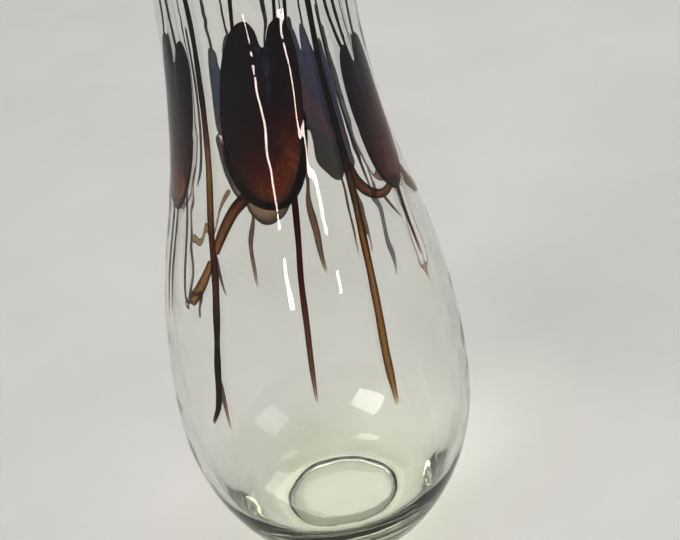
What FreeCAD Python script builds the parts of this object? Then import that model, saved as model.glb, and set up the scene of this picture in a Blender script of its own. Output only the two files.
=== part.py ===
"""Hand blown art glass vase: a clear blown bubble, a ground foot disc, and applied petals and threads.

Millimetres. The vase stands on the XY plane with its axis on Z and its front towards -Y.
A bearing is the angle round the axis, in degrees: 0 is the front, and it grows towards +X.
"""

import FreeCAD, Part
import math
import os

import Sketcher

AXIS = FreeCAD.Vector(0, 0, 1)

DIMENSIONS = {
    "overall_height": 355.0,
    "belly_radius": 75.0,
    "belly_height": 82.0,
    "belly_curve": 123.0,
    "shoulder_curve": 385.0,
    "waist_radius": 43.2,
    "waist_height": 308.0,
    "lip_curve": 80.0,
    "foot_radius": 31.0,
    "wall_thickness": 4.2,
    "relief": 1.0,
    "base_thickness": 14.0,
    "cavity_floor_radius": 20.0,
    "disc_thickness": 3.0,
    "lip_round": 0.9,
    "main_thread_width": 3.6,
    "fine_thread_width": 2.0,
    "garland_width": 4.4,
    "loop_width": 3.2,
    "prism_start": 30.0,
    "prism_length": 60.0,
}

# Each petal: bearing of its middle, half its width in degrees, height of its bottom, its length,
# how far its top leans towards larger bearings in millimetres, and 1 or -1 for its larger lobe's side.
PETALS = {
    "front_petal": (-6.0, 23.0, 221.0, 81.0, 0.0, 1),
    "right_petal": (65.0, 16.5, 206.5, 73.0, -0.5, -1),
    "rear_right_petal": (155.5, 13.5, 172.0, 93.0, -1.0, 1),
    "rear_left_petal": (193.5, 15.5, 147.0, 117.0, 8.0, 1),
    "left_petal": (289.0, 17.5, 211.0, 82.0, 5.0, 1),
}
PETAL_SIZES = ("bearing", "half_angle", "bottom", "length", "lean", "side")

# The petal's outline from the notch round to the notch: across, from -1 to 1, and up, from 0 to 1.
PETAL_OUTLINE = (
    (0.25, 0.86),
    (0.17, 0.95),
    (-0.04, 1.00),
    (-0.40, 0.94),
    (-0.78, 0.72),
    (-1.00, 0.38),
    (-0.80, 0.13),
    (-0.30, 0.01),
    (0.30, 0.01),
    (0.76, 0.18),
    (1.00, 0.52),
    (1.00, 0.84),
    (0.80, 0.98),
    (0.53, 0.96),
    (0.36, 0.86),
)

# The loop round the bottom of a petal follows these of its points, moved outward from the petal's middle.
LOOP_FIRST, LOOP_LAST = 5, 10
PETAL_MIDDLE = 0.45

# How many straight flats stand for the curve between two points of an outline or a path.
FLATS = 3

# Every thread is a list of (bearing, height) points.
# Main threads run from the lip down to the belly, between the petals.
MAIN_THREADS = {
    "main_thread_front_left": (
        (-40, 346), (-39, 290), (-40, 240), (-41, 210), (-39, 180), (-41, 128), (-46, 108)),
    "main_thread_front_right": ((31, 346), (32, 290), (34, 235), (32, 200), (28, 150), (28, 112)),
    "main_thread_right": ((113, 346), (112, 270), (110, 200), (113, 118)),
    "main_thread_rear_right": ((146, 346), (140.5, 262), (138, 235), (135.4, 203), (135, 165), (137, 108)),
    "main_thread_rear": ((179, 346), (177, 280), (175.2, 230), (174.5, 200), (173.8, 165), (172, 104)),
    "main_thread_rear_left": ((242, 346), (240, 260), (243, 190), (240, 112)),
}

# Lobe threads run from the top of a petal up to the lip.
LOBE_THREADS = {
    "front_petal_left_thread": ((-14, 290), (-11.5, 312), (-8, 346)),
    "front_petal_middle_thread": ((9, 294), (12, 312), (14, 346)),
    "front_petal_right_thread": ((14.5, 290), (18, 308), (21, 346)),
    "right_petal_front_thread": ((54, 268), (47, 286), (43, 304), (41, 346)),
    "right_petal_middle_thread": ((56, 270), (52, 288), (49.5, 304), (48, 346)),
    "right_petal_rear_thread": ((66, 272), (64, 292), (64, 346)),
    "rear_right_petal_right_thread": ((152, 258), (151, 290), (152, 346)),
    "rear_right_petal_left_thread": ((164, 258), (167, 290), (169, 346)),
    "rear_left_petal_right_thread": ((200, 256), (205, 290), (208, 346)),
    "rear_left_petal_left_thread": ((217, 256), (219, 290), (220, 346)),
    "left_petal_rear_thread": ((290, 286), (296, 304), (297, 346)),
    "left_petal_front_thread": ((306, 284), (304, 304), (307, 346)),
}

# One tail hangs from each petal, and one more splits off the front left main thread.
TAILS = {
    "front_petal_tail": ((4, 228), (2, 205), (0, 185), (-1, 155), (-2, 126)),
    "right_petal_tail": ((65, 212), (62, 190), (61, 170)),
    "rear_right_petal_tail": ((152, 182), (151, 150), (152, 118)),
    "rear_left_petal_tail": ((201, 158), (203, 145), (204.5, 130), (204, 106)),
    "left_petal_tail": ((288, 216), (285, 188), (285, 152)),
    "main_thread_front_left_tail": ((-40, 136), (-38.5, 122), (-37.5, 108)),
}

# Garlands hang from one petal or thread to the next.
GARLANDS = {
    "garland_front_left_upper": ((-15, 228), (-26, 219), (-33, 209), (-39.2, 196.5)),
    "garland_front_left_lower": ((-40.6, 193.5), (-47, 180), (-54, 169)),
    "garland_front_right": ((34.6, 230), (38, 219), (45, 211), (54, 208), (64, 211)),
    "garland_right": ((73, 211), (84, 196), (97, 187), (110, 192.5)),
    "garland_rear_right": ((111.5, 203), (119, 187), (127, 181), (134.8, 186)),
    "garland_rear_left": ((212, 179), (222, 160), (231, 155), (241.5, 166)),
    "garland_left": ((244, 209.5), (253, 198), (264, 198), (279, 219)),
}

# Fine threads between the petals.
FINE_THREADS = {
    "front_left_return_thread": ((-52, 171), (-57.5, 170), (-59, 190), (-58.5, 215), (-60, 243)),
    "front_left_spur": ((-39, 198), (-36, 187), (-33, 178)),
    "front_left_fine_thread": ((-43, 300), (-42.8, 262), (-44, 246), (-46.2, 234), (-50, 225)),
    "front_right_fine_thread": ((36, 302), (38.5, 268), (41.5, 240), (44.5, 211)),
    "front_right_fine_tail": ((50, 208.5), (54, 200), (58, 192)),
}

# The pieces that each thread is cut back to, besides those of its own petal.
RUNS_UP_TO = {
    "garland_front_left_upper": ("front_petal", "front_petal_loop", "main_thread_front_left"),
    "garland_front_left_lower": ("main_thread_front_left",),
    "garland_front_right": ("main_thread_front_right", "right_petal", "right_petal_loop"),
    "garland_right": ("main_thread_right", "right_petal", "right_petal_loop"),
    "garland_rear_right": ("main_thread_right", "main_thread_rear_right"),
    "garland_rear_left": ("main_thread_rear_left", "rear_left_petal", "rear_left_petal_loop"),
    "garland_left": ("main_thread_rear_left", "left_petal", "left_petal_loop"),
    "front_left_return_thread": ("garland_front_left_lower", "left_petal", "left_petal_loop"),
    "front_left_spur": ("main_thread_front_left", "garland_front_left_upper"),
    "front_left_fine_thread": ("left_petal_loop",),
    "front_right_fine_thread": ("main_thread_front_right", "garland_front_right"),
    "front_right_fine_tail": ("garland_front_right", "right_petal_loop"),
    "main_thread_front_left_tail": ("main_thread_front_left",),
    "rear_left_petal_tail": ("rear_left_petal", "rear_left_petal_loop"),
}

doc = FreeCAD.newDocument("blown_glass_vase")
sheet = doc.addObject("Spreadsheet::Sheet", "Sizes")


def fill_sheet():
    """Puts every driving dimension in the sheet, with its name beside it as its alias."""
    cells = dict(DIMENSIONS)
    for petal, sizes in PETALS.items():
        for size_name, value in zip(PETAL_SIZES, sizes):
            cells[f"{petal}_{size_name}"] = value
    for row, (alias, value) in enumerate(cells.items(), start=1):
        sheet.set(f"A{row}", alias)
        sheet.set(f"B{row}", str(value))
        sheet.setAlias(f"B{row}", alias)
    doc.recompute()


def size(alias):
    """The value of one cell of the sheet."""
    return float(sheet.get(alias))


def on_circle(centre, radius, degrees):
    angle = math.radians(degrees)
    return FreeCAD.Vector(centre[0] + radius * math.cos(angle), centre[1] + radius * math.sin(angle), 0)


def tangent_arcs(inset, floor_radius, floor_height, top):
    """The five arcs of the wall's side in radius and height: (centre, radius, first, last angle) each.

    They are the foot's round, the belly, the shoulder, the neck and the lip, each tangent to the next.
    inset moves them all towards the axis.
    """
    belly_radius, belly_height = size("belly_radius"), size("belly_height")
    waist_radius, waist_height = size("waist_radius"), size("waist_height")

    belly_centre = (belly_radius - size("belly_curve"), belly_height)
    belly = size("belly_curve") - inset
    across, down = floor_radius - belly_centre[0], belly_height - floor_height
    foot = (across**2 + down**2 - belly**2) / (2 * (down - belly))
    foot_centre = (floor_radius, floor_height + foot)
    foot_end = math.degrees(math.atan2(foot_centre[1] - belly_centre[1], foot_centre[0] - belly_centre[0]))

    narrowing, rise = belly_radius - waist_radius, waist_height - belly_height
    both = (narrowing**2 + rise**2) / (2 * narrowing)
    shoulder_centre = (belly_radius - size("shoulder_curve"), belly_height)
    neck_curve = both - size("shoulder_curve")
    neck_centre = (waist_radius + neck_curve, waist_height)
    turn = math.degrees(math.atan2(rise, neck_centre[0] - shoulder_centre[0]))

    lip_centre = (waist_radius + size("lip_curve"), waist_height)
    lip = size("lip_curve") + inset
    lip_turn = math.degrees(math.asin((top - waist_height) / lip))
    return (
        (foot_centre, foot, -90, foot_end),
        (belly_centre, belly, foot_end, 0),
        (shoulder_centre, size("shoulder_curve") - inset, 0, turn),
        (neck_centre, neck_curve + inset, 180, 180 + turn),
        (lip_centre, lip, 180 - lip_turn, 180),
    )


def outside_radius(height):
    """The vase's radius at a height, above the foot's round."""
    _, belly, shoulder, neck, lip = tangent_arcs(0, size("foot_radius"), 0, size("overall_height"))
    shoulder_top = on_circle(shoulder[0], shoulder[1], shoulder[3]).y
    if height < size("belly_height"):
        (x, y), radius, side = belly[0], belly[1], 1
    elif height < shoulder_top:
        (x, y), radius, side = shoulder[0], shoulder[1], 1
    elif height < size("waist_height"):
        (x, y), radius, side = neck[0], neck[1], -1
    else:
        (x, y), radius, side = lip[0], lip[1], -1
    return x + side * math.sqrt(radius**2 - (height - y) ** 2)


def origin_plane(body, role):
    return next(f for f in body.Origin.OriginFeatures if f.Role == role)


def bound(sketch, constraint, expression):
    """Adds one dimension to a sketch and binds it to the sheet."""
    number = sketch.addConstraint(constraint)
    sketch.setExpression(f"Constraints[{number}]", expression)


def form_sketch(body, name, inset, floor_radius, floor_height, top):
    """Half the section of the vase's form, closed by its floor, its axis and its top.

    The four sizes are expressions on the sheet; inset moves the side towards the axis.
    """
    values = [float(body.evalExpression(e)) for e in (inset, floor_radius, floor_height, top)]
    arcs = tangent_arcs(*values)
    sketch = body.newObject("Sketcher::SketchObject", name)
    sketch.AttachmentSupport = (origin_plane(body, "XZ_Plane"), [""])
    sketch.MapMode = "FlatFace"
    for centre, radius, first, last in arcs:
        circle = Part.Circle(FreeCAD.Vector(*centre, 0), AXIS, radius)
        sketch.addGeometry(Part.ArcOfCircle(circle, math.radians(first), math.radians(last)), False)
    foot_point = on_circle(arcs[0][0], arcs[0][1], arcs[0][2])
    lip_point = on_circle(arcs[4][0], arcs[4][1], arcs[4][2])
    top_point = FreeCAD.Vector(0, lip_point.y, 0)
    floor_point = FreeCAD.Vector(0, foot_point.y, 0)
    sketch.addGeometry(Part.LineSegment(lip_point, top_point), False)
    sketch.addGeometry(Part.LineSegment(top_point, floor_point), False)
    sketch.addGeometry(Part.LineSegment(floor_point, foot_point), False)

    foot, belly, shoulder, neck, lip, top_line, axis_line, floor_line = range(8)
    start, end, centre_point = 1, 2, 3
    smooth_joints = (
        (foot, end, belly, start),
        (belly, end, shoulder, start),
        (shoulder, end, neck, end),
        (neck, start, lip, end),
    )
    for one, one_end, other, other_end in smooth_joints:
        sketch.addConstraint(Sketcher.Constraint("Tangent", one, one_end, other, other_end))
    corners = (
        (lip, start, top_line, start),
        (top_line, end, axis_line, start),
        (axis_line, end, floor_line, start),
        (floor_line, end, foot, start),
    )
    for one, one_end, other, other_end in corners:
        sketch.addConstraint(Sketcher.Constraint("Coincident", one, one_end, other, other_end))
    sketch.addConstraint(Sketcher.Constraint("Horizontal", top_line))
    sketch.addConstraint(Sketcher.Constraint("Vertical", axis_line))
    sketch.addConstraint(Sketcher.Constraint("Horizontal", floor_line))
    sketch.addConstraint(Sketcher.Constraint("PointOnObject", axis_line, start, -2))
    sketch.addConstraint(Sketcher.Constraint("Vertical", foot, centre_point, foot, start))
    sketch.addConstraint(Sketcher.Constraint("Horizontal", belly, centre_point, belly, end))
    sketch.addConstraint(Sketcher.Constraint("Horizontal", neck, centre_point, neck, start))

    def dimension(kind, geometry, point, value, expression):
        bound(sketch, Sketcher.Constraint(kind, -1, 1, geometry, point, value), expression)

    belly_radius = f"Sizes.belly_radius - ({inset})"
    waist_radius = f"Sizes.waist_radius - ({inset})"
    dimension("DistanceX", foot, start, values[1], floor_radius)
    dimension("DistanceX", belly, end, size("belly_radius") - values[0], belly_radius)
    dimension("DistanceY", belly, end, size("belly_height"), "Sizes.belly_height")
    dimension("DistanceX", neck, start, size("waist_radius") - values[0], waist_radius)
    dimension("DistanceY", neck, start, size("waist_height"), "Sizes.waist_height")
    dimension("DistanceY", lip, start, values[3], top)
    if values[2]:
        dimension("DistanceY", foot, start, values[2], floor_height)
    else:
        sketch.addConstraint(Sketcher.Constraint("PointOnObject", foot, start, -1))
    bound(sketch, Sketcher.Constraint("Radius", belly, arcs[1][1]), f"Sizes.belly_curve - ({inset})")
    bound(sketch, Sketcher.Constraint("Radius", shoulder, arcs[2][1]), f"Sizes.shoulder_curve - ({inset})")
    bound(sketch, Sketcher.Constraint("Radius", lip, arcs[4][1]), f"Sizes.lip_curve + ({inset})")
    return sketch


def turned(body, kind, sketch, name):
    """A Revolution or a Groove of a sketch, all the way round the axis."""
    feature = body.newObject(f"PartDesign::{kind}", name)
    feature.Profile = sketch
    feature.ReferenceAxis = (sketch, ["V_Axis"])
    feature.Angle = 360
    doc.recompute()
    return feature


def foot_recess(body, name):
    """The round recess under the foot that the ground disc fills."""
    sketch = body.newObject("Sketcher::SketchObject", name + "Sketch")
    sketch.AttachmentSupport = (origin_plane(body, "XY_Plane"), [""])
    sketch.MapMode = "FlatFace"
    sketch.addGeometry(Part.Circle(FreeCAD.Vector(0, 0, 0), AXIS, size("foot_radius")), False)
    sketch.addConstraint(Sketcher.Constraint("Coincident", 0, 3, -1, 1))
    bound(sketch, Sketcher.Constraint("Radius", 0, size("foot_radius")), "Sizes.foot_radius")
    pocket = body.newObject("PartDesign::Pocket", name)
    pocket.Profile = sketch
    pocket.Reversed = True
    pocket.setExpression("Length", "Sizes.disc_thickness")
    doc.recompute()
    return pocket


def lip_radius(inset):
    """The radius of the wall's side at the top of the vase."""
    centre, radius, first, _ = tangent_arcs(inset, size("foot_radius"), 0, size("overall_height"))[4]
    return on_circle(centre, radius, first).x


def lip_edge(feature, radius):
    """The name of the circular edge at the top of the vase that has the radius."""
    top = size("overall_height")
    for number, edge in enumerate(feature.Shape.Edges, start=1):
        is_round = isinstance(edge.Curve, Part.Circle)
        if is_round and abs(edge.Curve.Center.z - top) < 0.01 and abs(edge.Curve.Radius - radius) < 0.05:
            return f"Edge{number}"
    raise ValueError(f"no lip edge of radius {radius:.2f}")


def blown_bubble():
    """The clear body: turned, hollowed, with a recess under its foot and a rounded lip."""
    body = doc.addObject("PartDesign::Body", "blown_bubble")
    outside = form_sketch(body, "BubbleOutside", "0", "Sizes.foot_radius", "0", "Sizes.overall_height")
    turned(body, "Revolution", outside, "BubbleForm")
    wall, floor = "Sizes.wall_thickness", "Sizes.base_thickness"
    floor_radius, top = "Sizes.cavity_floor_radius", "Sizes.overall_height"
    inside = form_sketch(body, "BubbleInside", wall, floor_radius, floor, top)
    turned(body, "Groove", inside, "BubbleHollow")
    recess = foot_recess(body, "BubbleRecess")
    fillet = body.newObject("PartDesign::Fillet", "BubbleLip")
    outer_edge = lip_edge(recess, lip_radius(0))
    inner_edge = lip_edge(recess, lip_radius(size("wall_thickness")))
    fillet.Base = (recess, [outer_edge, inner_edge])
    fillet.setExpression("Radius", "Sizes.lip_round")
    body.Tip = fillet
    doc.recompute()
    return body


def relief_skin():
    """The layer just outside the bubble that the petals and threads are cut from."""
    body = doc.addObject("PartDesign::Body", "relief_skin")
    outset, floor_radius = "-Sizes.relief", "Sizes.foot_radius + Sizes.relief"
    outside = form_sketch(body, "SkinOutside", outset, floor_radius, "0", "Sizes.overall_height")
    turned(body, "Revolution", outside, "SkinForm")
    inside = form_sketch(body, "SkinInside", "0", "Sizes.foot_radius", "0", "Sizes.overall_height")
    turned(body, "Groove", inside, "SkinHollow")
    return body


def facing(bearing):
    """The placement of an upright plane off the axis, square to a bearing given as an expression."""
    across = f"Sizes.prism_start * sin({bearing} * 1deg)"
    along = f"-Sizes.prism_start * cos({bearing} * 1deg)"
    return f"placement(vector({across}; {along}; 0); rotation({bearing}; 0; 90))"


def point_on_plane(middle, bearing, height):
    """Where a point of the wall lands on the upright plane that faces the middle bearing."""
    across = outside_radius(height) * math.sin(math.radians(bearing - middle))
    return FreeCAD.Vector(across, height, 0)


def prism(name, corners, bearing):
    """Pushes a closed outline of straight flats out through the wall, square to the plane at the bearing."""
    sketch = doc.addObject("Sketcher::SketchObject", name + "_outline")
    flats = [Part.LineSegment(one, other) for one, other in zip(corners, corners[1:] + corners[:1])]
    sketch.addGeometry(flats, False)
    sketch.setExpression("Placement", facing(bearing))
    block = doc.addObject("Part::Extrusion", name + "_prism")
    block.Base = sketch
    block.DirMode = "Normal"
    block.Solid = True
    block.setExpression("LengthFwd", "Sizes.prism_length")
    return block


def smooth(points):
    """A smooth curve through the points, as short flats."""
    curve = Part.BSplineCurve()
    curve.interpolate(points)
    return curve.discretize(FLATS * (len(points) - 1) + 1)


def petal_corners(name, outline, grow):
    """The petal's outline on the plane that faces it, moved outward by a distance."""
    bottom, length = size(f"{name}_bottom"), size(f"{name}_length")
    widest = outside_radius(bottom + length / 3) * math.sin(math.radians(size(f"{name}_half_angle")))
    side = size(f"{name}_side")
    points = []
    for across, up in outline:
        point = FreeCAD.Vector(widest * across * side + size(f"{name}_lean") * up, bottom + length * up, 0)
        outward = FreeCAD.Vector(across * side, up - PETAL_MIDDLE, 0).normalize()
        points.append(point + outward * grow)
    return smooth(points)


def petal_prism(name):
    return prism(name, petal_corners(name, PETAL_OUTLINE, 0), f"Sizes.{name}_bearing")


def loop_prism(name):
    """The thread that hugs the bottom of a petal."""
    outline = PETAL_OUTLINE[LOOP_FIRST : LOOP_LAST + 1]
    return prism(f"{name}_loop", petal_corners(name, outline, size("loop_width")), f"Sizes.{name}_bearing")


def thread_prism(name, path, width_alias):
    """A thread of one width along a path, with square ends."""
    bearings = [bearing for bearing, _ in path]
    middle = (min(bearings) + max(bearings)) / 2
    line = smooth([point_on_plane(middle, *point) for point in path])
    left, right = [], []
    for number, point in enumerate(line):
        before, after = line[max(number - 1, 0)], line[min(number + 1, len(line) - 1)]
        along = (after - before).normalize()
        side = FreeCAD.Vector(-along.y, along.x, 0) * (size(width_alias) / 2)
        left.append(point + side)
        right.append(point - side)
    return prism(name, left + right[::-1], str(middle))


def applied(name, block, skin, cutters):
    """What the skin and a prism share, cut back to the prisms that it runs up to."""
    piece = doc.addObject("Part::Common", name + "_on_wall")
    piece.Base = skin
    piece.Tool = block
    for number, cutter in enumerate(cutters):
        cut = doc.addObject("Part::Cut", f"{name}_cut_{number}")
        cut.Base = piece
        cut.Tool = cutter
        piece = cut
    piece.Label = name
    return piece


def own_petal(name):
    """The petal that a loop, tail or lobe thread belongs to, or None."""
    return next((petal for petal in PETALS if name.startswith(petal) and name != petal), None)


def decoration(skin):
    """Every petal, loop and thread."""
    prisms = {name: petal_prism(name) for name in PETALS}
    prisms.update({f"{name}_loop": loop_prism(name) for name in PETALS})
    families = (
        (MAIN_THREADS, "main_thread_width"),
        (LOBE_THREADS, "fine_thread_width"),
        (TAILS, "fine_thread_width"),
        (GARLANDS, "garland_width"),
        (FINE_THREADS, "fine_thread_width"),
    )
    for family, width_alias in families:
        for name, path in family.items():
            prisms[name] = thread_prism(name, path, width_alias)
    pieces = []
    for name, block in prisms.items():
        cutters = [prisms[other] for other in RUNS_UP_TO.get(name, ())]
        petal = own_petal(name)
        if petal and name not in RUNS_UP_TO:
            cutters.append(prisms[petal])
            if name.endswith("_tail"):
                cutters.append(prisms[f"{petal}_loop"])
        pieces.append(applied(name, block, skin, cutters))
    return pieces


def pontil_disc():
    disc = doc.addObject("Part::Cylinder", "pontil_disc")
    disc.setExpression("Radius", "Sizes.foot_radius")
    disc.setExpression("Height", "Sizes.disc_thickness")
    return disc


def check(pieces):
    """Stops before anything is written if an object failed or a piece isn't one sound solid."""
    for item in doc.Objects:
        if "Invalid" in item.State or "Error" in item.State:
            raise RuntimeError(f"{item.Name} failed: {item.State}")
    broken = []
    for piece in pieces:
        if piece.Shape.isNull() or not piece.Shape.isValid():
            raise RuntimeError(f"{piece.Label} isn't a sound shape")
        if len(piece.Shape.Solids) != 1:
            broken.append((piece.Label, [round(solid.Volume, 2) for solid in piece.Shape.Solids]))
    if broken:
        raise RuntimeError(f"more or fewer than one solid: {broken}")


def main():
    fill_sheet()
    pieces = [blown_bubble(), pontil_disc()]
    pieces += decoration(relief_skin())
    doc.recompute()
    check(pieces)
    os.makedirs("parts", exist_ok=True)
    for piece in pieces:
        piece.Shape.exportStep(f"parts/{piece.Label}.step")
        print(f"{piece.Label}: {piece.Shape.Volume / 1000:.2f} cm3")
    print(len(pieces), "pieces")


main()
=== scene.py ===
"""A hand blown art glass vase on a pale floor, built round its CAD frame.

The clear bubble is one glass mesh with the tool ripples of hand work. The petals, loops and threads are
dark glass laid in its wall, just under the surface, which swells a little over each of them.
Metres. The vase stands on z = 0 with its axis on Z and its front towards -Y.
A bearing is the angle round the axis, in degrees: 0 is the front, and it grows towards +X.
"""

import math

import bpy
import numpy as np
from mathutils import Matrix, Vector, noise


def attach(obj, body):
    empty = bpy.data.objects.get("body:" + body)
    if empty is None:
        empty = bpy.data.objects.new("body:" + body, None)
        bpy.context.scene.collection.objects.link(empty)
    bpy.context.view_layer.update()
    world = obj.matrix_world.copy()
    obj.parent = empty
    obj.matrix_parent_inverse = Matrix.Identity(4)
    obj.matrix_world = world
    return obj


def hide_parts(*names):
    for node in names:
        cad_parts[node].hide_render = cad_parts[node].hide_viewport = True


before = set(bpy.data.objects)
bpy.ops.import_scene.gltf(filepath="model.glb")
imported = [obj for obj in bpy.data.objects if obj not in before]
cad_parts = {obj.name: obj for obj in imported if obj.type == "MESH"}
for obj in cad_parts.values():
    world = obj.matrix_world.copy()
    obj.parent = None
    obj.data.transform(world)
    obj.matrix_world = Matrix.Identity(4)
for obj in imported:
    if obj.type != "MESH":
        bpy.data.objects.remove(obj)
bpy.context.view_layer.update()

MM = 0.001

# The wall's form: five arcs, each tangent to the next, in millimetres.
OVERALL_HEIGHT = 355.0
BELLY_RADIUS, BELLY_HEIGHT, BELLY_CURVE = 75.0, 82.0, 123.0
SHOULDER_CURVE = 385.0
WAIST_RADIUS, WAIST_HEIGHT, LIP_CURVE = 43.2, 308.0, 80.0
FOOT_RADIUS, DISC_THICKNESS = 31.0, 3.0
WALL, BASE, CAVITY_FLOOR_RADIUS = 4.2, 14.0, 20.0

# Each petal: bearing of its middle, half its width in degrees, height of its bottom, its length,
# how far its top leans towards larger bearings in millimetres, and 1 or -1 for its larger lobe's side.
PETALS = {
    "front_petal": (-6.0, 23.0, 221.0, 81.0, 0.0, 1),
    "right_petal": (65.0, 16.5, 206.5, 73.0, -0.5, -1),
    "rear_right_petal": (155.5, 13.5, 172.0, 93.0, -1.0, 1),
    "rear_left_petal": (193.5, 15.5, 147.0, 117.0, 8.0, 1),
    "left_petal": (289.0, 17.5, 211.0, 82.0, 5.0, 1),
}

# The outline all petals share, from the notch round: across by half widths, up by the petal's length.
# Its heart is the middle that its rings shrink to, and a loop follows it between two of its points.
PETAL_OUTLINE = (
    (0.25, 0.86),
    (0.17, 0.95),
    (-0.04, 1.00),
    (-0.40, 0.94),
    (-0.78, 0.72),
    (-1.00, 0.38),
    (-0.80, 0.13),
    (-0.30, 0.01),
    (0.30, 0.01),
    (0.76, 0.18),
    (1.00, 0.52),
    (1.00, 0.84),
    (0.80, 0.98),
    (0.53, 0.96),
    (0.36, 0.86),
)
PETAL_HEART = (0.1, 0.47)
LOOP_FIRST, LOOP_LAST = 5, 10

# Every thread is a list of (bearing, height) points, from its top down or from end to end.
MAIN_THREADS = {
    "main_thread_front_left": (
        (-40, 346), (-39, 290), (-40, 240), (-41, 210), (-39, 180), (-41, 128), (-46, 108)),
    "main_thread_front_right": ((31, 346), (32, 290), (34, 235), (32, 200), (28, 150), (28, 112)),
    "main_thread_right": ((113, 346), (112, 270), (110, 200), (113, 118)),
    "main_thread_rear_right": ((146, 346), (140.5, 262), (138, 235), (135.4, 203), (135, 165), (137, 108)),
    "main_thread_rear": ((179, 346), (177, 280), (175.2, 230), (174.5, 200), (173.8, 165), (172, 104)),
    "main_thread_rear_left": ((242, 346), (240, 260), (243, 190), (240, 112)),
}
LOBE_THREADS = {
    "front_petal_left_thread": ((-14, 290), (-11.5, 312), (-8, 346)),
    "front_petal_middle_thread": ((9, 294), (12, 312), (14, 346)),
    "front_petal_right_thread": ((14.5, 290), (18, 308), (21, 346)),
    "right_petal_front_thread": ((54, 268), (47, 286), (43, 304), (41, 346)),
    "right_petal_middle_thread": ((56, 270), (52, 288), (49.5, 304), (48, 346)),
    "right_petal_rear_thread": ((66, 272), (64, 292), (64, 346)),
    "rear_right_petal_right_thread": ((152, 258), (151, 290), (152, 346)),
    "rear_right_petal_left_thread": ((164, 258), (167, 290), (169, 346)),
    "rear_left_petal_right_thread": ((200, 256), (205, 290), (208, 346)),
    "rear_left_petal_left_thread": ((217, 256), (219, 290), (220, 346)),
    "left_petal_rear_thread": ((290, 286), (296, 304), (297, 346)),
    "left_petal_front_thread": ((306, 284), (304, 304), (307, 346)),
}
TAILS = {
    "front_petal_tail": ((4, 228), (2, 205), (0, 185), (-1, 155), (-2, 126)),
    "right_petal_tail": ((65, 212), (62, 190), (61, 170)),
    "rear_right_petal_tail": ((152, 182), (151, 150), (152, 118)),
    "rear_left_petal_tail": ((201, 158), (203, 145), (204.5, 130), (204, 106)),
    "left_petal_tail": ((288, 216), (285, 188), (285, 152)),
    "main_thread_front_left_tail": ((-40, 136), (-38.5, 122), (-37.5, 108)),
}
GARLANDS = {
    "garland_front_left_upper": ((-15, 228), (-26, 219), (-33, 209), (-39.2, 196.5)),
    "garland_front_left_lower": ((-40.6, 193.5), (-47, 180), (-54, 169)),
    "garland_front_right": ((34.6, 230), (38, 219), (45, 211), (54, 208), (64, 211)),
    "garland_right": ((73, 211), (84, 196), (97, 187), (110, 192.5)),
    "garland_rear_right": ((111.5, 203), (119, 187), (127, 181), (134.8, 186)),
    "garland_rear_left": ((212, 179), (222, 160), (231, 155), (241.5, 166)),
    "garland_left": ((244, 209.5), (253, 198), (264, 198), (279, 219)),
}
FINE_THREADS = {
    "front_left_return_thread": ((-52, 171), (-57.5, 170), (-59, 190), (-58.5, 215), (-60, 243)),
    "front_left_spur": ((-39, 198), (-36, 187), (-33, 178)),
    "front_left_fine_thread": ((-43, 300), (-42.8, 262), (-44, 246), (-46.2, 234), (-50, 225)),
    "front_right_fine_thread": ((36, 302), (38.5, 268), (41.5, 240), (44.5, 211)),
    "front_right_fine_tail": ((50, 208.5), (54, 200), (58, 192)),
}

# Colours of light that has passed through a piece, and the dark glass's own faint body colours.
BLACK = (0.010, 0.005, 0.008)
PLUM = (0.045, 0.012, 0.030)
MAROON = (0.115, 0.020, 0.022)
RED_BROWN = (0.300, 0.085, 0.035)
BROWN = (0.200, 0.085, 0.035)
AMBER = (0.720, 0.400, 0.140)
SMOKE = (0.420, 0.370, 0.400)
STEEL = (0.200, 0.240, 0.400)
VIOLET = (0.100, 0.070, 0.210)
MAUVE = (0.400, 0.300, 0.360)
CLEAR_BROWN = (0.540, 0.360, 0.240)

scene = bpy.context.scene


# ---------------------------------------------------------------- the wall's form

def tangent_arcs(inset, floor_radius, floor_height):
    """The foot's round, the belly, the shoulder, the neck and the lip: (centre, radius, first, last) each.

    Angles in radians, each arc in the direction that climbs the wall.
    """
    belly_centre = (BELLY_RADIUS - BELLY_CURVE, BELLY_HEIGHT)
    belly = BELLY_CURVE - inset
    across, down = floor_radius - belly_centre[0], BELLY_HEIGHT - floor_height
    foot = (across**2 + down**2 - belly**2) / (2 * (down - belly))
    foot_centre = (floor_radius, floor_height + foot)
    foot_end = math.atan2(foot_centre[1] - belly_centre[1], foot_centre[0] - belly_centre[0])

    narrowing, rise = BELLY_RADIUS - WAIST_RADIUS, WAIST_HEIGHT - BELLY_HEIGHT
    both = (narrowing**2 + rise**2) / (2 * narrowing)
    shoulder_centre = (BELLY_RADIUS - SHOULDER_CURVE, BELLY_HEIGHT)
    neck_centre = (WAIST_RADIUS + both - SHOULDER_CURVE, WAIST_HEIGHT)
    turn = math.atan2(rise, neck_centre[0] - shoulder_centre[0])

    lip_centre = (WAIST_RADIUS + LIP_CURVE, WAIST_HEIGHT)
    bead = WALL / 2
    lip_turn = math.asin((OVERALL_HEIGHT - bead - WAIST_HEIGHT) / (LIP_CURVE + bead))
    return (
        (foot_centre, foot, -math.pi / 2, foot_end),
        (belly_centre, belly, foot_end, 0),
        (shoulder_centre, SHOULDER_CURVE - inset, 0, turn),
        (neck_centre, both - SHOULDER_CURVE + inset, math.pi + turn, math.pi),
        (lip_centre, LIP_CURVE + inset, math.pi, math.pi - lip_turn),
    )


def arc_points(arc, step):
    """Points along one arc, without its first, as (radius, height)."""
    centre, radius, first, last = arc
    count = max(2, round(abs(last - first) * radius / step))
    angles = np.linspace(first, last, count + 1)[1:]
    return np.column_stack((centre[0] + radius * np.cos(angles), centre[1] + radius * np.sin(angles)))


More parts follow.
